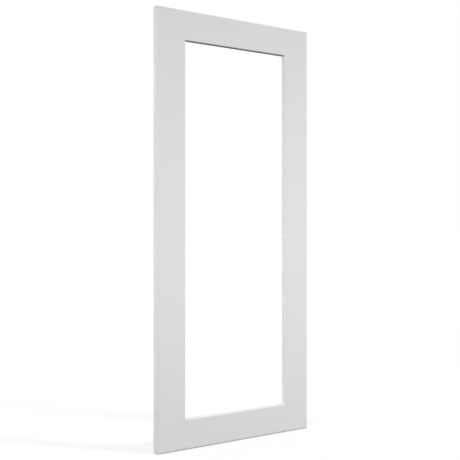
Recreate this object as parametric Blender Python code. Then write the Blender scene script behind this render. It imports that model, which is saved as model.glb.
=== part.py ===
"""Open framed kitchen cabinet door, ready for a pane of glass.

Two stiles and two rails with long and short shoulders, doweled at the corners and rebated at
the back for the pane. The right stile is bored for three concealed hinges. Metres, +Z up. The
origin is at the middle of the bottom edge, the front faces -Y, and the door stands upright.
"""

import math

import bmesh
import bpy
from mathutils import Matrix

# Overall size
DOOR_WIDTH = 0.397
DOOR_HEIGHT = 0.957
DOOR_THICKNESS = 0.020

# Frame members
STILE_WIDTH = 0.067
RAIL_WIDTH = 0.066

# Rebate for the pane, behind the lip that shows at the front
LIP_THICKNESS = 0.011
REBATE_WIDTH = 0.010

# Eased edges
OUTSIDE_EASING_RADIUS = 0.0025
WINDOW_EASING_RADIUS = 0.0015
BACK_EASING_RADIUS = 0.0006
EASING_STEPS = 5

# Glue line between members that butt together
GLUE_LINE = 0.0001

# Fluted dowels, two at each corner
DOWEL_DIAMETER = 0.008
DOWEL_LENGTH = 0.040
DOWEL_CHAMFER = 0.0010
DOWEL_FLUTES = 20
DOWEL_FLUTE_DEPTH = 0.0004
DOWEL_SPACING = 0.032
DOWEL_CLEARANCE = 0.0002
DOWEL_END_SPACE = 0.0010
DOWEL_BORE_SIDES = 32

# Concealed hinges, bored in the back of the right stile
HINGE_CUP_DIAMETER = 0.035
HINGE_CUP_DEPTH = 0.0125
HINGE_CUP_EDGE_DISTANCE = 0.0225
HINGE_END_DISTANCE = 0.100
HINGE_CUP_SIDES = 64
HINGE_FIXING_DIAMETER = 0.008
HINGE_FIXING_DEPTH = 0.011
HINGE_FIXING_SPACING = 0.045
HINGE_FIXING_OFFSET = 0.0095
HINGE_FIXING_SIDES = 24

# How far a cutter runs past the face that it opens
OVERCUT = 0.004

# Paint and timber
PAINT_COLOUR = (0.693, 0.693, 0.680, 1.0)
PAINT_ROUGHNESS = 0.42
BEECH_COLOUR = (0.53, 0.36, 0.21, 1.0)
BEECH_ROUGHNESS = 0.65

# Planes and edges that several pieces share
HALF_WIDTH = DOOR_WIDTH / 2
FRONT_Y = -DOOR_THICKNESS / 2
BACK_Y = DOOR_THICKNESS / 2
LIP_BACK_Y = FRONT_Y + LIP_THICKNESS
SIGHT_X = HALF_WIDTH - STILE_WIDTH
REBATE_X = SIGHT_X + REBATE_WIDTH
SIGHT_BOTTOM_Z = RAIL_WIDTH
SIGHT_TOP_Z = DOOR_HEIGHT - RAIL_WIDTH
REBATE_BOTTOM_Z = SIGHT_BOTTOM_Z - REBATE_WIDTH
REBATE_TOP_Z = SIGHT_TOP_Z + REBATE_WIDTH


def clear_scene():
    """Remove everything that the file holds."""
    for thing in list(bpy.data.objects):
        bpy.data.objects.remove(thing, do_unlink=True)


def make_material(name, colour, roughness):
    """A plain Principled material."""
    material = bpy.data.materials.new(name)
    material.use_nodes = True
    shader = material.node_tree.nodes["Principled BSDF"]
    shader.inputs["Base Color"].default_value = colour
    shader.inputs["Roughness"].default_value = roughness
    shader.inputs["Metallic"].default_value = 0.0
    return material


def add_object(name, shape, material=None):
    """Turn a bmesh into a named object whose faces point outwards."""
    bmesh.ops.recalc_face_normals(shape, faces=shape.faces)
    mesh = bpy.data.meshes.new(name)
    shape.to_mesh(mesh)
    shape.free()
    thing = bpy.data.objects.new(name, mesh)
    bpy.context.scene.collection.objects.link(thing)
    if material is not None:
        mesh.materials.append(material)
    return thing


def make_cutter(name, shape):
    """A guide object that only shapes others."""
    cutter = add_object(name, shape)
    cutter.hide_render = True
    cutter.display_type = "WIRE"
    return cutter


def cut(thing, cutter):
    """Take the cutter's space out of an object."""
    boolean = thing.modifiers.new("cut " + cutter.name, "BOOLEAN")
    boolean.operation = "DIFFERENCE"
    boolean.solver = "EXACT"
    boolean.object = cutter


def extrude_plan(outline, bottom, top):
    """A prism: an outline of (x, y) points, raised from bottom to top along Z."""
    shape = bmesh.new()
    corners = [shape.verts.new((x, y, bottom)) for x, y in outline]
    floor = shape.faces.new(corners)
    raised = bmesh.ops.extrude_face_region(shape, geom=[floor])
    lifted = [item for item in raised["geom"] if isinstance(item, bmesh.types.BMVert)]
    bmesh.ops.translate(shape, verts=lifted, vec=(0, 0, top - bottom))
    return shape


def add_rod(shape, centre, along, radius, length, sides):
    """Add a closed round rod to a bmesh, along X ("x") or Y ("y")."""
    made = bmesh.ops.create_cone(
        shape,
        cap_ends=True,
        segments=sides,
        radius1=radius,
        radius2=radius,
        depth=length,
    )
    turning_axis = {"x": "Y", "y": "X"}[along]
    quarter_turn = Matrix.Rotation(math.pi / 2, 3, turning_axis)
    bmesh.ops.rotate(shape, verts=made["verts"], cent=(0, 0, 0), matrix=quarter_turn)
    bmesh.ops.translate(shape, verts=made["verts"], vec=centre)


def stile_plan(side):
    """Plan of a stile: a board with the rebate along its inner back edge. side is -1 or 1."""
    points = [
        (HALF_WIDTH, FRONT_Y),
        (HALF_WIDTH, BACK_Y),
        (REBATE_X, BACK_Y),
        (REBATE_X, LIP_BACK_Y),
        (SIGHT_X, LIP_BACK_Y),
        (SIGHT_X, FRONT_Y),
    ]
    return [(side * x, y) for x, y in points]


def make_stile(name, side, material):
    """A full-height upright."""
    return add_object(name, extrude_plan(stile_plan(side), 0, DOOR_HEIGHT), material)


def rail_plan():
    """Plan of a rail: short shoulders at the front, long ones behind that fill the rebates."""
    short = SIGHT_X - GLUE_LINE
    long = REBATE_X - GLUE_LINE
    step_y = LIP_BACK_Y + GLUE_LINE
    right = [(short, FRONT_Y), (short, step_y), (long, step_y), (long, BACK_Y)]
    left = [(-x, y) for x, y in reversed(right)]
    return right + left


def make_rail(name, bottom, top, rebate_bottom, rebate_top, material):
    """A cross piece with stepped shoulders, rebated along the window."""
    rail = add_object(name, extrude_plan(rail_plan(), bottom, top), material)
    reach = REBATE_X + OVERCUT
    outline = [
        (-reach, LIP_BACK_Y),
        (reach, LIP_BACK_Y),
        (reach, BACK_Y + OVERCUT),
        (-reach, BACK_Y + OVERCUT),
    ]
    rebate = extrude_plan(outline, rebate_bottom, rebate_top)
    cut(rail, make_cutter(name + "_rebate", rebate))
    return rail


def easing_section(radius):
    """Section of what a rounded edge loses, as (outward, towards the viewer) from the corner."""
    arc = []
    for step in range(EASING_STEPS + 1):
        angle = math.pi / 2 * (1 - step / EASING_STEPS)
        outward = radius * (math.cos(angle) - 1)
        forward = radius * (math.sin(angle) - 1)
        arc.append((outward, forward))
    first = extend(arc[1], arc[0], OVERCUT / radius)
    last = extend(arc[-2], arc[-1], OVERCUT / radius)
    return [first] + arc[1:-1] + [last, (OVERCUT, OVERCUT)]


def extend(start, end, share):
    """The point past end on the line from start, by a share of their distance."""
    return (
        end[0] + (end[0] - start[0]) * share,
        end[1] + (end[1] - start[1]) * share,
    )


def easing_ring(low, high, face_y, facing, outward, radius):
    """A cutter that rounds the edge of a rectangle all the way round.

    low and high are the rectangle's (x, z) corners, facing is -1 at the front and 1 at the
    back, and outward is 1 round the outside and -1 round the window.
    """
    shape = bmesh.new()
    signs = [(-1, -1), (1, -1), (1, 1), (-1, 1)]
    loops = []
    for out, forward in easing_section(radius):
        loop = []
        for sign_x, sign_z in signs:
            x = (low[0], high[0])[sign_x > 0] + sign_x * outward * out
            z = (low[1], high[1])[sign_z > 0] + sign_z * outward * out
            loop.append(shape.verts.new((x, face_y + facing * forward, z)))
        loops.append(loop)
    for loop, following in zip(loops, loops[1:] + loops[:1]):
        for corner in range(4):
            beyond = (corner + 1) % 4
            shape.faces.new((loop[corner], loop[beyond], following[beyond], following[corner]))
    return shape


def make_easing_cutters():
    """Cutters for the arrises, which are eased once the frame is glued up."""
    outside = ((-HALF_WIDTH, 0), (HALF_WIDTH, DOOR_HEIGHT))
    window = ((-SIGHT_X, SIGHT_BOTTOM_Z), (SIGHT_X, SIGHT_TOP_Z))
    front = easing_ring(*outside, FRONT_Y, -1, 1, OUTSIDE_EASING_RADIUS)
    inner = easing_ring(*window, FRONT_Y, -1, -1, WINDOW_EASING_RADIUS)
    back = easing_ring(*outside, BACK_Y, 1, 1, BACK_EASING_RADIUS)
    return [
        make_cutter("ease_front_outside", front),
        make_cutter("ease_front_window", inner),
        make_cutter("ease_back_outside", back),
    ]


def dowel_places():
    """Name and centre of each dowel: on the short shoulder, at mid-thickness."""
    places = []
    for end, middle_z in (("bottom", RAIL_WIDTH / 2), ("top", DOOR_HEIGHT - RAIL_WIDTH / 2)):
        for hand, side in (("left", -1), ("right", 1)):
            for level, step in (("lower", -1), ("upper", 1)):
                name = "_".join(("dowel", end, hand, level))
                centre = (side * SIGHT_X, 0, middle_z + step * DOWEL_SPACING / 2)
                places.append((name, centre))
    return places


def make_dowel_bores():
    """One cutter with every dowel hole."""
    shape = bmesh.new()
    radius = DOWEL_DIAMETER / 2 + DOWEL_CLEARANCE
    length = DOWEL_LENGTH + 2 * DOWEL_END_SPACE
    for _, centre in dowel_places():
        add_rod(shape, centre, "x", radius, length, DOWEL_BORE_SIDES)
    return make_cutter("dowel_bores", shape)


def make_dowel(name, centre, material):
    """A round pin with straight flutes and chamfered ends, along X."""
    shape = bmesh.new()
    half = DOWEL_LENGTH / 2
    radius = DOWEL_DIAMETER / 2
    stations = [
        (-half, radius - DOWEL_CHAMFER),
        (DOWEL_CHAMFER - half, radius),
        (half - DOWEL_CHAMFER, radius),
        (half, radius - DOWEL_CHAMFER),
    ]
    points = 2 * DOWEL_FLUTES
    rings = []
    for along, ridge in stations:
        ring = []
        for index in range(points):
            reach = ridge - DOWEL_FLUTE_DEPTH * (index % 2)
            angle = 2 * math.pi * index / points
            y = centre[1] + reach * math.cos(angle)
            z = centre[2] + reach * math.sin(angle)
            ring.append(shape.verts.new((centre[0] + along, y, z)))
        rings.append(ring)
    for ring, following in zip(rings, rings[1:]):
        for index in range(points):
            beyond = (index + 1) % points
            shape.faces.new((ring[index], ring[beyond], following[beyond], following[index]))
    shape.faces.new(rings[0])
    shape.faces.new(rings[-1])
    return add_object(name, shape, material)


def hinge_heights():
    """Heights of the three hinges."""
    return (HINGE_END_DISTANCE, DOOR_HEIGHT / 2, DOOR_HEIGHT - HINGE_END_DISTANCE)


def add_back_bore(shape, x, z, diameter, depth, sides):
    """Add a blind hole from the back face to a bmesh of cutters."""
    centre = (x, BACK_Y + (OVERCUT - depth) / 2, z)
    add_rod(shape, centre, "y", diameter / 2, depth + OVERCUT, sides)


def make_hinge_bores():
    """One cutter with the hinge cups and their fixing holes."""
    shape = bmesh.new()
    cup_x = HALF_WIDTH - HINGE_CUP_EDGE_DISTANCE
    fixing_x = cup_x - HINGE_FIXING_OFFSET
    for z in hinge_heights():
        add_back_bore(shape, cup_x, z, HINGE_CUP_DIAMETER, HINGE_CUP_DEPTH, HINGE_CUP_SIDES)
        for side in (-1, 1):
            add_back_bore(
                shape,
                fixing_x,
                z + side * HINGE_FIXING_SPACING / 2,
                HINGE_FIXING_DIAMETER,
                HINGE_FIXING_DEPTH,
                HINGE_FIXING_SIDES,
            )
    return make_cutter("hinge_bores", shape)


def main():
    clear_scene()
    paint = {
        name: make_material("paint_" + name, PAINT_COLOUR, PAINT_ROUGHNESS)
        for name in ("stile_left", "stile_right", "rail_top", "rail_bottom")
    }
    stile_left = make_stile("stile_left", -1, paint["stile_left"])
    stile_right = make_stile("stile_right", 1, paint["stile_right"])
    rail_top = make_rail(
        "rail_top",
        SIGHT_TOP_Z,
        DOOR_HEIGHT,
        SIGHT_TOP_Z - OVERCUT,
        REBATE_TOP_Z,
        paint["rail_top"],
    )
    rail_bottom = make_rail(
        "rail_bottom",
        0,
        SIGHT_BOTTOM_Z,
        REBATE_BOTTOM_Z,
        SIGHT_BOTTOM_Z + OVERCUT,
        paint["rail_bottom"],
    )
    members = [stile_left, stile_right, rail_top, rail_bottom]
    for cutter in [make_dowel_bores()] + make_easing_cutters():
        for member in members:
            cut(member, cutter)
    cut(stile_right, make_hinge_bores())
    for name, centre in dowel_places():
        beech = make_material("beech_" + name, BEECH_COLOUR, BEECH_ROUGHNESS)
        make_dowel(name, centre, beech)


main()
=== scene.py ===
import math

import bpy
from bpy.types import Material, NodeSocket
from mathutils import Euler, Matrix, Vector


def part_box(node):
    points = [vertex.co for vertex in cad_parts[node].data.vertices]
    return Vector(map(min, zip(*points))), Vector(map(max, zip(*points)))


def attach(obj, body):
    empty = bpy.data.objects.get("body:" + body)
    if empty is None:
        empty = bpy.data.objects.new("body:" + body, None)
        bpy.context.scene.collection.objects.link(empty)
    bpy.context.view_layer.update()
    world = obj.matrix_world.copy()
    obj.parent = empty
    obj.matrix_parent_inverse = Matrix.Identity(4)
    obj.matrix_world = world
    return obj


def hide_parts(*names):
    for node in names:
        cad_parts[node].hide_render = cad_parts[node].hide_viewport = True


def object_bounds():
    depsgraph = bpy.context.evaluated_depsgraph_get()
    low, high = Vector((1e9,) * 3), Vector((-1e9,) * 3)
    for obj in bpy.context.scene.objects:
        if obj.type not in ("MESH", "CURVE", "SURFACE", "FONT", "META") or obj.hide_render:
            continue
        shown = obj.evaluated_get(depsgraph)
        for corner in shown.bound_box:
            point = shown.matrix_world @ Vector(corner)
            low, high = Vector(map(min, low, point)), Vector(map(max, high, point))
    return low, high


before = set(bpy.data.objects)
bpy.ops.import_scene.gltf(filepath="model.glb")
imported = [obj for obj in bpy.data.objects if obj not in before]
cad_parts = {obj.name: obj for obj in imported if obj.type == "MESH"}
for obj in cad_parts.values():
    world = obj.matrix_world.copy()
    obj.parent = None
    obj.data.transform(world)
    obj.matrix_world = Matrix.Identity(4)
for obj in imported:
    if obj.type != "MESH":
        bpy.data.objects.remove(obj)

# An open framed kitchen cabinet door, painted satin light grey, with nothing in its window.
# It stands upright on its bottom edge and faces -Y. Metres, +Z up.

cad_low, cad_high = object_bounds()

# Places that the CAD gives
DOOR_LOW = Vector(cad_low)
DOOR_HIGH = Vector(cad_high)
SIGHT_X = Vector(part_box("stile_right")[0]).x
SIGHT_BOTTOM_Z = Vector(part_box("rail_bottom")[1]).z
SIGHT_TOP_Z = Vector(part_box("rail_top")[0]).z

# Rebate for the pane, behind the lip that shows at the front
LIP_THICKNESS = 0.011
REBATE_WIDTH = 0.010

# Eased arrises
OUTSIDE_EASING_RADIUS = 0.0035
WINDOW_EASING_RADIUS = 0.0015
BACK_EASING_RADIUS = 0.0006
EASING_STEPS = 12

# The joint between rail and stile, filled by the paint down to a hairline
JOINT_HAIRLINE = 0.00002

# Fluted dowels
DOWEL_DIAMETER = 0.008
DOWEL_LENGTH = 0.040
DOWEL_CHAMFER = 0.001
DOWEL_FLUTES = 20
DOWEL_FLUTE_DEPTH = 0.0004
DOWEL_SIDES_PER_FLUTE = 5.0
DOWEL_SPACING = 0.032
DOWEL_CLEARANCE = 0.0002
DOWEL_END_SPACE = 0.001
DOWEL_HOLE_SIDES = 48

# Borings for concealed hinges, in the back of the right stile
HINGE_COUNT = 3
HINGE_CUP_DIAMETER = 0.035
HINGE_CUP_DEPTH = 0.0125
HINGE_CUP_EDGE_DISTANCE = 0.0225
HINGE_CUP_SIDES = 96
HINGE_END_DISTANCE = 0.100
HINGE_FIXING_DIAMETER = 0.008
HINGE_FIXING_DEPTH = 0.011
HINGE_FIXING_SPACING = 0.045
HINGE_FIXING_OFFSET = 0.0095
HINGE_FIXING_SIDES = 48

# How far a waste piece runs past the face that it opens
OVERCUT = 0.004

# Points closer than this become one, and shading runs smoothly over bends gentler than this
MERGE_DISTANCE = 1e-6
SMOOTH_DEGREES = 35

# Paint, bare board and beech: shades along a noise, as (place, colour in linear light)
PAINT_SHADES = (
    (0.30, (0.705, 0.705, 0.690)),
    (0.70, (0.717, 0.717, 0.702)),
)
BOARD_SHADES = (
    (0.30, (0.27, 0.18, 0.105)),
    (0.52, (0.42, 0.295, 0.18)),
    (0.72, (0.56, 0.42, 0.28)),
)
BEECH_SHADES = (
    (0.30, (0.50, 0.33, 0.185)),
    (0.70, (0.60, 0.42, 0.25)),
)
FLECK_SHADES = (
    (0.60, (1.0, 1.0, 1.0)),
    (0.72, (0.72, 0.60, 0.50)),
)
FLECK_SHARE = 0.8

# The part of a noise's range that is spread over a finish's roughness
NOISE_LOW = 0.25
NOISE_HIGH = 0.75

# Camera: level, at half the door's height, with the view's turn in degrees
PHOTO_PIXELS = 460.0
CAMERA_FOCAL_PIXELS = 700.0
CAMERA_TURN = 30.784
CAMERA_AIM_X = -0.0188
CAMERA_DISTANCE = 1.5795
CAMERA_SENSOR = 36.0
CAMERA_NEAR = 0.01
CAMERA_FAR = 200.0

# Studio: light of the white surroundings, and what the floor shows, shades and gives back
WHITE = (1.0, 1.0, 1.0, 1.0)
WORLD_LIGHT = 0.666
FLOOR_GLOW = 0.755
FLOOR_SHADE = 0.40
FLOOR_BOUNCE = 0.02
FLOOR_HALF_WIDTH = 60.0
FLOOR_LEVEL = -0.0002

# Where the softboxes light the floor, it glows less, so that it just shows white all over
POOL_MIDDLE = (0.1, -0.2, 0.0)
POOL_RADIUS = 1.45
POOL_DEPTH = 0.215

# Softboxes: name, place, aim, width, height, watts and the angle that their grid lets through
SOFTBOXES = (
    ("right_front_high", (2.2, -2.2, 1.7), (0.16, 0.0, 0.3), 0.6, 0.6, 7.93, 60.0),
    ("left_front_high", (-2.6, -1.2, 1.25), (0.12, 0.0, 0.3), 0.5, 0.5, 3.31, 60.0),
    ("left_front_wide", (-2.2, -2.0, 1.25), (0.12, 0.0, 0.35), 0.5, 0.5, 4.24, 90.0),
    ("left_back_tall", (-2.6, 1.3, 0.76), (0.35, 0.0, 0.4785), 0.2, 1.5, 0.837, 20.0),
    ("back_high", (1.2, 2.6, 1.3), (0.0, 0.0, 0.4785), 0.5, 0.5, 2.5, 60.0),
)

# Planes that several pieces share
FRONT_Y = DOOR_LOW.y
BACK_Y = DOOR_HIGH.y
LIP_BACK_Y = FRONT_Y + LIP_THICKNESS
HALF_WIDTH = DOOR_HIGH.x
DOOR_HEIGHT = DOOR_HIGH.z
REBATE_X = SIGHT_X + REBATE_WIDTH

QUARTER_TURN = math.pi / 2


# Arithmetic inside node trees

# Whole numbers that differ by less than this are taken as equal
SAME_WITHIN = 0.1


class Figure:
    """A number that a node tree works out, for use in ordinary arithmetic."""

    def __init__(self, tree, socket):
        self.tree = tree
        self.socket = socket

    def work(self, operation, *others):
        """The result of a math node on this figure and others."""
        return worked(self.tree, operation, self, *others)

    def __add__(self, other):
        return self.work("ADD", other)

    def __sub__(self, other):
        return self.work("SUBTRACT", other)

    def __mul__(self, other):
        return self.work("MULTIPLY", other)

    def __truediv__(self, other):
        return self.work("DIVIDE", other)

    def __rtruediv__(self, other):
        return worked(self.tree, "DIVIDE", other, self)

    def __neg__(self):
        return self.work("MULTIPLY", -1.0)

    def equals(self, other):
        """1 where two whole numbers are the same, and 0 elsewhere."""
        return self.work("COMPARE", other, SAME_WITHIN)


def worked(tree, operation, *terms):
    """The figure that a math node makes of its terms."""
    sums = add_node(tree, "ShaderNodeMath", dict(enumerate(terms)), operation=operation)
    return Figure(tree, sums.outputs[0])


def feed(tree, socket, value):
    """Give a socket its value: a figure, another socket or a constant."""
    if isinstance(value, Figure):
        value = value.socket
    if isinstance(value, NodeSocket):
        tree.links.new(value, socket)
    else:
        socket.default_value = value


def feed_all(tree, node, inputs):
    """Feed inputs of a node, each given by its name or its number."""
    for name, value in inputs.items():
        feed(tree, node.inputs[name], value)
    return node


def add_node(tree, kind, inputs=None, **settings):
    """A node with its settings made and its inputs fed."""
    node = tree.nodes.new(kind)
    for name, value in settings.items():
        setattr(node, name, value)
    return feed_all(tree, node, inputs or {})


def put_group(tree, group, inputs):
    """What one tree makes inside another, from the inputs that it is fed there."""
    return add_node(tree, "GeometryNodeGroup", inputs, node_tree=group).outputs[0]


def joined(tree, socket, sources):
    """Feed several outputs into one input that takes many."""
    for source in sources:
        tree.links.new(source, socket)


def vector(tree, x=0.0, y=0.0, z=0.0):
    """A vector put together from figures or constants."""
    return add_node(tree, "ShaderNodeCombineXYZ", {"X": x, "Y": y, "Z": z}).outputs[0]


def parts(tree, place):
    """The x, y and z of a vector, as figures."""
    split = add_node(tree, "ShaderNodeSeparateXYZ", {0: place})
    return [Figure(tree, output) for output in split.outputs]


def start_tree(name, sizes):
    """A tree that takes a mesh and named sizes, and gives a mesh back."""
    kinds = {
        float: "NodeSocketFloat",
        int: "NodeSocketInt",
        Vector: "NodeSocketVector",
        Material: "NodeSocketMaterial",
    }
    tree = bpy.data.node_groups.new(name, "GeometryNodeTree")
    face = tree.interface
    face.new_socket("Mesh", in_out="INPUT", socket_type="NodeSocketGeometry")
    for size, kind in sizes.items():
        face.new_socket(size, in_out="INPUT", socket_type=kinds[kind])
    face.new_socket("Mesh", in_out="OUTPUT", socket_type="NodeSocketGeometry")
    given = tree.nodes.new("NodeGroupInput").outputs
    figures = {size: Figure(tree, given[size]) for size in sizes}
    return tree, given, figures


def end_tree(tree, mesh, material, where=True):
    """Set a mesh's material, on all its faces or where it is told, and end the tree with it."""
    finished = add_node(
        tree,
        "GeometryNodeSetMaterial",
        {"Geometry": mesh, "Material": material, "Selection": where},
    )
    add_node(tree, "NodeGroupOutput", {0: finished.outputs[0]})


def realized(tree, instances):
    """Real geometry from instances."""
    return add_node(tree, "GeometryNodeRealizeInstances", {"Geometry": instances}).outputs[0]


def moved(tree, mesh, place, turn=(0.0, 0.0, 0.0)):
    """A mesh turned about the origin and then moved to a place."""
    return add_node(
        tree,
        "GeometryNodeTransform",
        {"Geometry": mesh, "Translation": place, "Rotation": Euler(turn)},
    ).outputs[0]


def reshaped(tree, mesh, position):
    """A mesh with each point at a position that is worked out for it."""
    return add_node(
        tree, "GeometryNodeSetPosition", {"Geometry": mesh, "Position": position}
    ).outputs[0]


def merged(tree, mesh):
    """A mesh whose points are joined where they meet."""
    return add_node(
        tree, "GeometryNodeMergeByDistance", {"Geometry": mesh, "Distance": MERGE_DISTANCE}
    ).outputs[0]


def rod(tree, sides, diameter, length):
    """A plain rod along Z, with its middle at the origin."""
    return add_node(
        tree,
        "GeometryNodeMeshCylinder",
        {"Vertices": sides, "Radius": diameter * 0.5, "Depth": length},
    ).outputs["Mesh"]


def soften(tree, mesh):
    """Smooth shading everywhere but across real edges."""
    bend = tree.nodes.new("GeometryNodeInputMeshEdgeAngle").outputs["Unsigned Angle"]
    gentle = Figure(tree, bend).work("LESS_THAN", math.radians(SMOOTH_DEGREES))
    for domain, smooth in (("FACE", True), ("EDGE", gentle)):
        mesh = add_node(
            tree,
            "GeometryNodeSetShadeSmooth",
            {"Geometry": mesh, "Shade Smooth": smooth},
            domain=domain,
        ).outputs[0]
    return mesh


# Eased arrises: a ring of waste with mitred corners, all the way round a rectangle

# A rectangle's corners, and the points of a loop round it that ends where it began
CORNER_COUNT = 4
LOOP_POINTS = 5

# Which way the eased face looks, and on which side of the rectangle the wood lies
FACING_FRONT = -1.0
FACING_BACK = 1.0
ROUND_OUTSIDE = 1.0
ROUND_WINDOW = -1.0


def arris_waste_tree():
    """What a round plane takes off the edge of a rectangle, all the way round."""
    sizes = {
        "Low X": float,
        "High X": float,
        "Low Z": float,
        "High Z": float,
        "Face Y": float,
        "Facing": float,
        "Outward": float,
        "Radius": float,
        "Steps": int,
        "Overcut": float,
    }
    tree, _, size = start_tree("arris_waste", sizes)
    outward, forward, corner, profile = arris_profile(tree, size)
    turn = (corner + 0.5) * QUARTER_TURN
    sign_x = turn.work("COSINE") * -math.sqrt(2)
    sign_z = turn.work("SINE") * -math.sqrt(2)
    middle_x = (size["Low X"] + size["High X"]) * 0.5
    middle_z = (size["Low Z"] + size["High Z"]) * 0.5
    half_x = (size["High X"] - size["Low X"]) * 0.5
    half_z = (size["High Z"] - size["Low Z"]) * 0.5
    x = middle_x + sign_x * (half_x + size["Outward"] * outward)
    y = size["Face Y"] + size["Facing"] * forward
    z = middle_z + sign_z * (half_z + size["Outward"] * outward)
    closed = merged(tree, reshaped(tree, profile, vector(tree, x, y, z)))
    turned = add_node(tree, "GeometryNodeFlipFaces", {"Mesh": closed}).outputs[0]
    inside_out = (size["Facing"] * size["Outward"]).work("LESS_THAN", 0.0)
    chosen = add_node(
        tree,
        "GeometryNodeSwitch",
        {"Switch": inside_out, "False": closed, "True": turned},
        input_type="GEOMETRY",
    )
    add_node(tree, "NodeGroupOutput", {0: chosen.outputs[0]})
    return tree


def arris_profile(tree, size):
    """The waste's section, for each point of a grid of stations by corners.

    The stations follow the arc, then one far point closes the section, and the last lies on
    the first. The arc's two ends run on a little past the faces, so that the cut is clean.
    Returned are how far a point lies outward and forward, its corner, and the grid.
    """
    steps = size["Steps"]
    stations = steps + 2.0
    grid = add_node(
        tree,
        "GeometryNodeMeshGrid",
        {"Size X": 1.0, "Size Y": 1.0, "Vertices X": stations + 1.0, "Vertices Y": LOOP_POINTS},
    )
    index = Figure(tree, tree.nodes.new("GeometryNodeInputIndex").outputs[0])
    corner = index.work("MODULO", LOOP_POINTS).work("MODULO", CORNER_COUNT)
    station = (index / LOOP_POINTS).work("FLOOR").work("MODULO", stations)

    angle = (-(station / steps) + 1.0) * QUARTER_TURN
    step_angle = QUARTER_TURN / steps
    run = size["Overcut"] * step_angle
    rise = run * (step_angle * 0.5).work("TANGENT")
    first = station.equals(0.0)
    last = station.equals(steps)
    far = station.equals(steps + 1.0)
    on_arc = -far + 1.0
    radius = size["Radius"]
    outward = (angle.work("COSINE") - 1.0) * radius * on_arc
    outward = outward - first * run + last * rise + far * size["Overcut"]
    forward = (angle.work("SINE") - 1.0) * radius * on_arc
    forward = forward + first * rise - last * run + far * size["Overcut"]
    return outward, forward, corner, grid.outputs["Mesh"]


# Borings

HINGE_INPUTS = {
    "Hinge Count": int,
    "Hinge Middle X": float,
    "Hinge First Z": float,
    "Hinge Spacing": float,
    "Cup Diameter": float,
    "Cup Depth": float,
    "Fixing Diameter": float,
    "Fixing Depth": float,
    "Fixing Spacing": float,
    "Fixing Offset": float,
}


def blind_bore(tree, size, hole, sides, x=0.0, z=0.0):
    """A rod that drills a blind hole into the back, at x and z from the cup's middle."""
    depth = size[hole + " Depth"]
    overcut = size["Overcut"]
    drill = rod(tree, sides, size[hole + " Diameter"], depth + overcut)
    place = vector(tree, x, size["Back Y"] + (overcut - depth) * 0.5, z)
    return moved(tree, drill, place, turn=(QUARTER_TURN, 0.0, 0.0))


def hinge_waste_tree():
    """The borings of a row of concealed hinges: a cup and two fixing holes at each place."""
    sizes = {**HINGE_INPUTS, "Back Y": float, "Overcut": float, "Bare Board": Material}
    tree, given, size = start_tree("hinge_waste", sizes)
    drills = [blind_bore(tree, size, "Cup", HINGE_CUP_SIDES)]
    for side in (-0.5, 0.5):
        x = -size["Fixing Offset"]
        z = size["Fixing Spacing"] * side
        drills.append(blind_bore(tree, size, "Fixing", HINGE_FIXING_SIDES, x, z))
    one = add_node(tree, "GeometryNodeMeshBoolean", operation="UNION", solver="EXACT")
    joined(tree, one.inputs["Mesh 2"], drills)
    row = add_node(
        tree,
        "GeometryNodeMeshLine",
        {
            "Count": size["Hinge Count"],
            "Start Location": vector(tree, size["Hinge Middle X"], 0.0, size["Hinge First Z"]),
            "Offset": vector(tree, z=size["Hinge Spacing"]),
        },
    )
    bored = add_node(
        tree,
        "GeometryNodeInstanceOnPoints",
        {"Points": row.outputs[0], "Instance": one.outputs[0]},
    )
    end_tree(tree, realized(tree, bored.outputs[0]), given["Bare Board"])
    return tree


def copies(tree, mesh, offset):
    """Two of a mesh, one at its own place and one moved by an offset."""
    pair = add_node(tree, "GeometryNodeMeshLine", {"Count": 2, "Offset": offset})
    return add_node(
        tree, "GeometryNodeInstanceOnPoints", {"Points": pair.outputs[0], "Instance": mesh}
    ).outputs[0]


def dowel_waste_tree():
    """The dowel holes of a frame: two at each corner, along X."""
    sizes = {
        "First Place": Vector,
        "Spacing": float,
        "Across": float,
        "Up": float,
        "Diameter": float,
        "Length": float,
        "Bare Board": Material,
    }
    tree, given, size = start_tree("dowel_waste", sizes)
    drill = rod(tree, DOWEL_HOLE_SIDES, size["Diameter"], size["Length"])
    laid = moved(tree, drill, given["First Place"], turn=(0.0, QUARTER_TURN, 0.0))
    corner = copies(tree, laid, vector(tree, z=size["Spacing"]))
    side = copies(tree, corner, vector(tree, z=size["Up"]))
    whole = copies(tree, side, vector(tree, x=size["Across"]))
    end_tree(tree, realized(tree, whole), given["Bare Board"])
    return tree


# Frame members

MEMBER_INPUTS = {
    "Height": float,
    "Outside Low": Vector,
    "Outside High": Vector,
    "Window Low": Vector,
    "Window High": Vector,
    "Outside Radius": float,
    "Window Radius": float,
    "Back Radius": float,
    "Steps": int,
    "Overcut": float,
    "First Dowel": Vector,
    "Dowel Spacing": float,
    "Dowel Hole Diameter": float,
    "Dowel Hole Length": float,
    "Paint": Material,
    "Bare Board": Material,
}
REBATE_INPUTS = {"Rebate Width": float, "Lip Back Y": float}

# Eased arrises: rectangle, the corner on the eased face, where it faces, its side and radius
EASED_ARRISES = (
    ("Outside", "Low", FACING_FRONT, ROUND_OUTSIDE, "Outside Radius"),
    ("Window", "Low", FACING_FRONT, ROUND_WINDOW, "Window Radius"),
    ("Outside", "High", FACING_BACK, ROUND_OUTSIDE, "Back Radius"),
)


def raised_board(tree, plan, height):
    """A plan face raised to a closed board."""
    raised = add_node(
        tree,
        "GeometryNodeExtrudeMesh",
        {
            "Mesh": plan,
            "Offset": (0.0, 0.0, 1.0),
            "Offset Scale": height,
            "Individual": False,
        },
        mode="FACES",
    )
    under = add_node(tree, "GeometryNodeFlipFaces", {"Mesh": plan})
    both = tree.nodes.new("GeometryNodeJoinGeometry")
    joined(tree, both.inputs[0], [raised.outputs["Mesh"], under.outputs[0]])
    return merged(tree, both.outputs[0])


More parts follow.
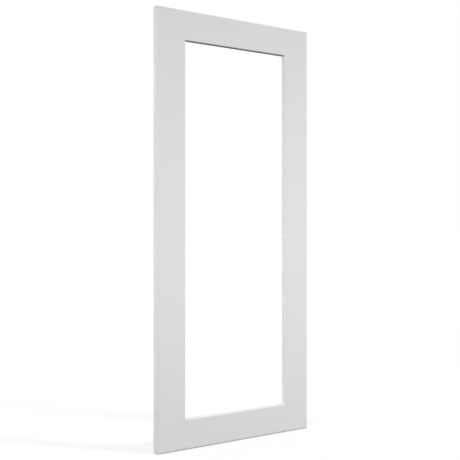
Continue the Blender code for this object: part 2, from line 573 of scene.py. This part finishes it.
def arris_wastes(tree, ring, corners, size):
    """A ring of waste for each eased arris."""
    wastes = []
    for rectangle, face, facing, outward, radius in EASED_ARRISES:
        low_x, _, low_z = corners[rectangle + " Low"]
        high_x, _, high_z = corners[rectangle + " High"]
        _, face_y, _ = corners[rectangle + " " + face]
        inputs = {
            "Low X": low_x,
            "High X": high_x,
            "Low Z": low_z,
            "High Z": high_z,
            "Face Y": face_y,
            "Facing": facing,
            "Outward": outward,
            "Radius": size[radius],
            "Steps": size["Steps"],
            "Overcut": size["Overcut"],
        }
        wastes.append(put_group(tree, ring, inputs))
    return wastes


def rebate_waste(tree, corners, size):
    """A block behind the lip, as high as the rebate, that runs out past a rail's ends."""
    low_x, _, low_z = corners["Window Low"]
    high_x, _, high_z = corners["Window High"]
    _, back_y, _ = corners["Outside High"]
    both_rebates = size["Rebate Width"] * 2.0
    lip_back_y = size["Lip Back Y"]
    end_y = back_y + size["Overcut"]
    across = (high_x - low_x) + both_rebates * 2.0
    tall = (high_z - low_z) + both_rebates
    block = add_node(
        tree, "GeometryNodeMeshCube", {"Size": vector(tree, across, end_y - lip_back_y, tall)}
    )
    middle = vector(
        tree, (low_x + high_x) * 0.5, (end_y + lip_back_y) * 0.5, (low_z + high_z) * 0.5
    )
    return moved(tree, block.outputs["Mesh"], middle)


def dowel_waste(tree, dowels, given, corners, size):
    """The holes of all the dowels, set out from the first one's middle."""
    first_x, _, first_z = parts(tree, given["First Dowel"])
    _, _, top_z = corners["Outside High"]
    inputs = {
        "First Place": given["First Dowel"],
        "Spacing": size["Dowel Spacing"],
        "Across": first_x * -2.0,
        "Up": top_z - first_z * 2.0 - size["Dowel Spacing"],
        "Diameter": size["Dowel Hole Diameter"],
        "Length": size["Dowel Hole Length"],
        "Bare Board": given["Bare Board"],
    }
    return put_group(tree, dowels, inputs)


def hinge_waste(tree, hinges, given, corners, size):
    """The borings of all the hinges."""
    _, back_y, _ = corners["Outside High"]
    inputs = {name: size[name] for name in HINGE_INPUTS}
    inputs.update({
        "Back Y": back_y,
        "Overcut": size["Overcut"],
        "Bare Board": given["Bare Board"],
    })
    return put_group(tree, hinges, inputs)


def cut_away(tree, board, wastes):
    """A board with its waste pieces taken off, one after another."""
    for waste in wastes:
        board = add_node(
            tree,
            "GeometryNodeMeshBoolean",
            {"Mesh 1": board, "Mesh 2": waste},
            operation="DIFFERENCE",
            solver="EXACT",
        ).outputs["Mesh"]
    return board


def member_tree(name, ring, dowels, rebated=False, hinges=None):
    """A frame member: its plan is raised to its height, then eased, rebated and bored."""
    sizes = dict(MEMBER_INPUTS)
    if rebated:
        sizes.update(REBATE_INPUTS)
    if hinges is not None:
        sizes.update(HINGE_INPUTS)
    tree, given, size = start_tree(name, sizes)
    board = raised_board(tree, given["Mesh"], size["Height"])
    corners = {
        corner: parts(tree, given[corner])
        for corner in ("Outside Low", "Outside High", "Window Low", "Window High")
    }
    wastes = arris_wastes(tree, ring, corners, size)
    if rebated:
        wastes.append(rebate_waste(tree, corners, size))
    wastes.append(dowel_waste(tree, dowels, given, corners, size))
    if hinges is not None:
        wastes.append(hinge_waste(tree, hinges, given, corners, size))
    shaped = soften(tree, realized(tree, cut_away(tree, board, wastes)))
    bare = add_node(tree, "GeometryNodeMaterialSelection", {"Material": given["Bare Board"]})
    painted = add_node(tree, "FunctionNodeBooleanMath", {0: bare.outputs[0]}, operation="NOT")
    end_tree(tree, shaped, given["Paint"], painted.outputs[0])
    return tree


def fluted_dowel_tree():
    """A round pin along X with shallow straight flutes and chamfered ends."""
    sizes = {
        "Middle": Vector,
        "Length": float,
        "Diameter": float,
        "Chamfer": float,
        "Flutes": int,
        "Flute Depth": float,
        "Beech": Material,
    }
    tree, given, size = start_tree("fluted_dowel", sizes)
    full = size["Diameter"] * 0.5
    pin = add_node(
        tree,
        "GeometryNodeMeshCylinder",
        {
            "Vertices": size["Flutes"] * DOWEL_SIDES_PER_FLUTE,
            "Side Segments": size["Length"] / size["Chamfer"],
            "Radius": full,
            "Depth": size["Length"],
        },
    )
    x, y, z = parts(tree, tree.nodes.new("GeometryNodeInputPosition").outputs[0])
    around = y.work("ARCTAN2", x)
    flute = (around * size["Flutes"]).work("COSINE") * -0.5 + 0.5
    room = size["Length"] * 0.5 - z.work("ABSOLUTE")
    chamfer = (size["Chamfer"] - room).work("MAXIMUM", 0.0)
    share = (full - flute * size["Flute Depth"] - chamfer) / full
    fluted = reshaped(tree, pin.outputs["Mesh"], vector(tree, x * share, y * share, z))
    laid = moved(tree, fluted, given["Middle"], turn=(0.0, QUARTER_TURN, 0.0))
    end_tree(tree, soften(tree, realized(tree, laid)), given["Beech"])
    return tree


def grown(name, base, tree, values, even_shading=False):
    """A finished piece: a tree run on a base mesh with its named sizes, then made plain."""
    draft = bpy.data.objects.new(name + "_draft", base)
    bpy.context.scene.collection.objects.link(draft)
    growing = draft.modifiers.new("shape", "NODES")
    growing.node_group = tree
    sockets = {
        item.name: item.identifier
        for item in tree.interface.items_tree
        if item.item_type == "SOCKET" and item.in_out == "INPUT"
    }
    for size, value in values.items():
        growing[sockets[size]] = value
    if even_shading:
        weighting = draft.modifiers.new("even shading", "WEIGHTED_NORMAL")
        weighting.keep_sharp = True
    graph = bpy.context.evaluated_depsgraph_get()
    made = draft.evaluated_get(graph)
    mesh = bpy.data.meshes.new_from_object(made, preserve_all_data_layers=True, depsgraph=graph)
    bpy.data.objects.remove(draft)
    mesh.name = name
    piece = bpy.data.objects.new(name, mesh)
    bpy.context.scene.collection.objects.link(piece)
    return piece


# Finishes: noise scales are per metre


def start_finish(name):
    """A material with its shader and its place on the piece."""
    material = bpy.data.materials.new(name)
    material.use_nodes = True
    tree = material.node_tree
    shader = tree.nodes["Principled BSDF"]
    place = tree.nodes.new("ShaderNodeTexCoord").outputs["Object"]
    return material, tree, shader, place


def noise(tree, place, scale, detail, roughness=0.5):
    """A figure that varies over the piece."""
    return add_node(
        tree,
        "ShaderNodeTexNoise",
        {"Vector": place, "Scale": scale, "Detail": detail, "Roughness": roughness},
    ).outputs[0]


def stretched(tree, place, scale):
    """A place whose x, y and z are scaled, to draw a pattern out along the grain."""
    return add_node(tree, "ShaderNodeMapping", {"Vector": place, "Scale": scale}).outputs[0]


def shades(tree, figure, stops):
    """Colours along a figure from 0 to 1."""
    ramp = add_node(tree, "ShaderNodeValToRGB", {"Fac": figure})
    band = ramp.color_ramp
    while len(band.elements) < len(stops):
        band.elements.new(0.5)
    for element, (position, colour) in zip(band.elements, stops):
        element.position = position
        element.color = (*colour, 1.0)
    return ramp.outputs["Color"]


def spread(tree, figure, low, high):
    """A figure from a noise, moved into a range."""
    return add_node(
        tree,
        "ShaderNodeMapRange",
        {
            "Value": figure,
            "From Min": NOISE_LOW,
            "From Max": NOISE_HIGH,
            "To Min": low,
            "To Max": high,
        },
    ).outputs[0]


def relief(tree, height, strength, distance, over=None):
    """Fine relief from a figure, laid over a coarser one where that is given."""
    inputs = {"Height": height, "Strength": strength, "Distance": distance}
    if over is not None:
        inputs["Normal"] = over
    return add_node(tree, "ShaderNodeBump", inputs).outputs[0]


def satin_paint(name):
    """Sprayed satin lacquer: an even light grey with a faint cloud and orange peel."""
    material, tree, shader, place = start_finish(name)
    cloud = noise(tree, place, scale=5.0, detail=2.0)
    sheen_patches = noise(tree, place, scale=26.0, detail=3.0)
    peel = noise(tree, place, scale=420.0, detail=1.0)
    dust = noise(tree, place, scale=2600.0, detail=2.0)
    orange_peel = relief(tree, peel, strength=0.25, distance=0.00006)
    inputs = {
        "Base Color": shades(tree, cloud, PAINT_SHADES),
        "Roughness": spread(tree, sheen_patches, low=0.46, high=0.54),
        "Specular IOR Level": 0.30,
        "Normal": relief(tree, dust, strength=0.12, distance=0.00002, over=orange_peel),
    }
    feed_all(tree, shader, inputs)
    return material


def bare_board():
    """Cut fibreboard inside the borings: warm brown, felted and matt."""
    material, tree, shader, place = start_finish("bare_board")
    felt = noise(tree, place, scale=900.0, detail=4.0, roughness=0.7)
    inputs = {
        "Base Color": shades(tree, felt, BOARD_SHADES),
        "Roughness": spread(tree, felt, low=0.82, high=0.95),
        "Specular IOR Level": 0.2,
        "Normal": relief(tree, felt, strength=0.5, distance=0.0003),
    }
    feed_all(tree, shader, inputs)
    return material


def beech():
    """Beech dowel: fine grain along X with short darker flecks."""
    material, tree, shader, place = start_finish("beech")
    grain = noise(tree, stretched(tree, place, (0.5, 10.0, 10.0)), scale=90.0, detail=4.0)
    flecks = noise(tree, stretched(tree, place, (0.35, 1.6, 1.6)), scale=700.0, detail=1.0)
    ground = shades(tree, grain, BEECH_SHADES)
    marked = shades(tree, flecks, FLECK_SHADES)
    # Of a mix of colours, 6 and 7 are the inputs and 2 is the result
    mixed = add_node(
        tree,
        "ShaderNodeMix",
        {0: FLECK_SHARE, 6: ground, 7: marked},
        data_type="RGBA",
        blend_type="MULTIPLY",
    )
    inputs = {
        "Base Color": mixed.outputs[2],
        "Roughness": spread(tree, grain, low=0.58, high=0.72),
        "Normal": relief(tree, grain, strength=0.3, distance=0.0001),
    }
    feed_all(tree, shader, inputs)
    return material


# Pieces


def plan_mesh(name, outline, z):
    """A flat face from its outline of (x, y) points, facing up."""
    following = outline[1:] + outline[:1]
    twice_area = sum(a[0] * b[1] - b[0] * a[1] for a, b in zip(outline, following))
    points = outline if twice_area > 0 else outline[::-1]
    mesh = bpy.data.meshes.new(name)
    mesh.from_pydata([(x, y, z) for x, y in points], [], [list(range(len(points)))])
    return mesh


def stile_plan(side):
    """A board with a rebate along its inner back edge. side is -1 or 1."""
    points = [
        (HALF_WIDTH, FRONT_Y),
        (HALF_WIDTH, BACK_Y),
        (REBATE_X, BACK_Y),
        (REBATE_X, LIP_BACK_Y),
        (SIGHT_X, LIP_BACK_Y),
        (SIGHT_X, FRONT_Y),
    ]
    return [(side * x, y) for x, y in points]


def rail_plan():
    """Short shoulders at the front, and long ones behind that fill the rebates."""
    short = SIGHT_X - JOINT_HAIRLINE
    long = REBATE_X - JOINT_HAIRLINE
    step_y = LIP_BACK_Y + JOINT_HAIRLINE
    right = [(short, FRONT_Y), (short, step_y), (long, step_y), (long, BACK_Y)]
    return right + [(-x, y) for x, y in reversed(right)]


def member_values(height, paint, bare):
    """The sizes that every member's tree takes."""
    first_dowel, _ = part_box("dowel_bottom_left_lower")
    radius = DOWEL_DIAMETER / 2
    return {
        "Height": height,
        "Outside Low": DOOR_LOW,
        "Outside High": DOOR_HIGH,
        "Window Low": Vector((-SIGHT_X, FRONT_Y, SIGHT_BOTTOM_Z)),
        "Window High": Vector((SIGHT_X, FRONT_Y, SIGHT_TOP_Z)),
        "Outside Radius": OUTSIDE_EASING_RADIUS,
        "Window Radius": WINDOW_EASING_RADIUS,
        "Back Radius": BACK_EASING_RADIUS,
        "Steps": EASING_STEPS,
        "Overcut": OVERCUT,
        "First Dowel": Vector(first_dowel) + Vector((DOWEL_LENGTH / 2, radius, radius)),
        "Dowel Spacing": DOWEL_SPACING,
        "Dowel Hole Diameter": DOWEL_DIAMETER + 2 * DOWEL_CLEARANCE,
        "Dowel Hole Length": DOWEL_LENGTH + 2 * DOWEL_END_SPACE,
        "Paint": paint,
        "Bare Board": bare,
    }


def hinge_values():
    """The sizes of the hinge borings."""
    hinge_room = DOOR_HEIGHT - 2 * HINGE_END_DISTANCE
    return {
        "Hinge Count": HINGE_COUNT,
        "Hinge Middle X": HALF_WIDTH - HINGE_CUP_EDGE_DISTANCE,
        "Hinge First Z": HINGE_END_DISTANCE,
        "Hinge Spacing": hinge_room / (HINGE_COUNT - 1),
        "Cup Diameter": HINGE_CUP_DIAMETER,
        "Cup Depth": HINGE_CUP_DEPTH,
        "Fixing Diameter": HINGE_FIXING_DIAMETER,
        "Fixing Depth": HINGE_FIXING_DEPTH,
        "Fixing Spacing": HINGE_FIXING_SPACING,
        "Fixing Offset": HINGE_FIXING_OFFSET,
    }


def make_members():
    """The two stiles and the two rails."""
    ring = arris_waste_tree()
    holes = dowel_waste_tree()
    plain = member_tree("stile", ring, holes)
    bored = member_tree("bored_stile", ring, holes, hinges=hinge_waste_tree())
    rail = member_tree("rail", ring, holes, rebated=True)
    bare = bare_board()
    rebate = {"Rebate Width": REBATE_WIDTH, "Lip Back Y": LIP_BACK_Y}
    members = (
        ("stile_left", plain, stile_plan(-1), DOOR_LOW.z, DOOR_HEIGHT, {}),
        ("stile_right", bored, stile_plan(1), DOOR_LOW.z, DOOR_HEIGHT, hinge_values()),
        ("rail_bottom", rail, rail_plan(), DOOR_LOW.z, SIGHT_BOTTOM_Z, rebate),
        ("rail_top", rail, rail_plan(), SIGHT_TOP_Z, DOOR_HEIGHT, rebate),
    )
    for node, tree, plan, bottom, top, more in members:
        values = member_values(top - bottom, satin_paint("satin_paint_" + node), bare)
        values.update(more)
        base = plan_mesh("plan_" + node, plan, bottom)
        piece = grown("painted_" + node, base, tree, values, even_shading=True)
        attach(piece, "root")
        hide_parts(node)


def make_dowels():
    """Eight fluted pins, each in the place of its solid."""
    tree = fluted_dowel_tree()
    wood = beech()
    for node in sorted(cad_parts):
        if not node.startswith("dowel_"):
            continue
        low, high = (Vector(corner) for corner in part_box(node))
        values = {
            "Middle": (low + high) / 2,
            "Length": DOWEL_LENGTH,
            "Diameter": DOWEL_DIAMETER,
            "Chamfer": DOWEL_CHAMFER,
            "Flutes": DOWEL_FLUTES,
            "Flute Depth": DOWEL_FLUTE_DEPTH,
            "Beech": wood,
        }
        name = "fluted_" + node
        piece = grown(name, bpy.data.meshes.new(name + "_base"), tree, values)
        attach(piece, "root")
        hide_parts(node)


# Surroundings


def seen_directly(tree):
    """1 for camera, glossy and transmission rays, 0 for the rays that light the object."""
    path = tree.nodes.new("ShaderNodeLightPath").outputs
    seen = Figure(tree, path["Is Camera Ray"]).work("MAXIMUM", path["Is Glossy Ray"])
    return seen.work("MAXIMUM", path["Is Transmission Ray"])


def floor_glow(tree):
    """The floor's own light, lower where the softboxes light the floor."""
    place = tree.nodes.new("ShaderNodeTexCoord").outputs["Object"]
    away = add_node(
        tree, "ShaderNodeVectorMath", {0: place, 1: POOL_MIDDLE}, operation="DISTANCE"
    ).outputs["Value"]
    ratio = Figure(tree, away) / POOL_RADIUS
    pool = (-(ratio * ratio)).work("EXPONENT")
    strength = -(pool * POOL_DEPTH) + FLOOR_GLOW
    return add_node(tree, "ShaderNodeEmission", {"Color": WHITE, "Strength": strength}).outputs[0]


def pale_floor():
    """White to the eye, with the object's shadow on it, and nearly dark to the object."""
    material = bpy.data.materials.new("pale_floor")
    material.use_nodes = True
    tree = material.node_tree
    tree.nodes.clear()
    glow = floor_glow(tree)
    pale = add_node(tree, "ShaderNodeBsdfDiffuse", {"Color": (*[FLOOR_SHADE] * 3, 1.0)})
    dim = add_node(tree, "ShaderNodeBsdfDiffuse", {"Color": (*[FLOOR_BOUNCE] * 3, 1.0)})
    shown = add_node(tree, "ShaderNodeAddShader", {0: glow, 1: pale.outputs[0]})
    mixed = add_node(
        tree,
        "ShaderNodeMixShader",
        {0: seen_directly(tree), 1: dim.outputs[0], 2: shown.outputs[0]},
    )
    add_node(tree, "ShaderNodeOutputMaterial", {"Surface": mixed.outputs[0]})
    return material


def make_floor():
    """A plain pale floor that shows white and keeps the object's shadow."""
    mesh = bpy.data.meshes.new("floor")
    half = FLOOR_HALF_WIDTH
    corners = [(-half, -half), (half, -half), (half, half), (-half, half)]
    mesh.from_pydata([(x, y, FLOOR_LEVEL) for x, y in corners], [], [(0, 1, 2, 3)])
    mesh.materials.append(pale_floor())
    floor = bpy.data.objects.new("floor", mesh)
    bpy.context.scene.collection.objects.link(floor)


def make_world():
    """White to the eye and in reflections, and a soft even light on the object."""
    world = bpy.data.worlds.new("studio")
    bpy.context.scene.world = world
    world.use_nodes = True
    tree = world.node_tree
    tree.nodes.clear()
    white = add_node(tree, "ShaderNodeBackground", {"Color": WHITE, "Strength": 1.0})
    soft = add_node(tree, "ShaderNodeBackground", {"Color": WHITE, "Strength": WORLD_LIGHT})
    mixed = add_node(
        tree,
        "ShaderNodeMixShader",
        {0: seen_directly(tree), 1: soft.outputs[0], 2: white.outputs[0]},
    )
    add_node(tree, "ShaderNodeOutputWorld", {"Surface": mixed.outputs[0]})


def add_softbox(name, place, aim, width, height, watts, grid):
    """A flat lamp that points at aim, behind a grid that narrows its light."""
    lamp = bpy.data.lights.new(name, "AREA")
    lamp.shape = "RECTANGLE"
    lamp.size = width
    lamp.size_y = height
    lamp.energy = watts
    lamp.spread = math.radians(grid)
    holder = bpy.data.objects.new(name + "_softbox", lamp)
    bpy.context.scene.collection.objects.link(holder)
    holder.location = place
    facing = Vector(aim) - Vector(place)
    holder.rotation_euler = facing.to_track_quat("-Z", "Y").to_euler()
    holder.visible_camera = False
    holder.visible_glossy = False


def make_camera():
    """The photograph's view: from the left, level, at half the door's height."""
    lens = bpy.data.cameras.new("camera")
    lens.sensor_width = CAMERA_SENSOR
    lens.lens = CAMERA_FOCAL_PIXELS * CAMERA_SENSOR / PHOTO_PIXELS
    lens.clip_start = CAMERA_NEAR
    lens.clip_end = CAMERA_FAR
    camera = bpy.data.objects.new("camera", lens)
    bpy.context.scene.collection.objects.link(camera)
    turn = math.radians(CAMERA_TURN)
    camera.rotation_euler = Euler((QUARTER_TURN, 0.0, -turn))
    aim = Vector((CAMERA_AIM_X, FRONT_Y, DOOR_HEIGHT / 2))
    camera.location = aim - Vector((math.sin(turn), math.cos(turn), 0.0)) * CAMERA_DISTANCE
    bpy.context.scene.camera = camera


make_members()
make_dowels()
make_floor()
make_world()
for softbox in SOFTBOXES:
    add_softbox(*softbox)
make_camera()
bpy.context.scene.view_settings.view_transform = "Standard"
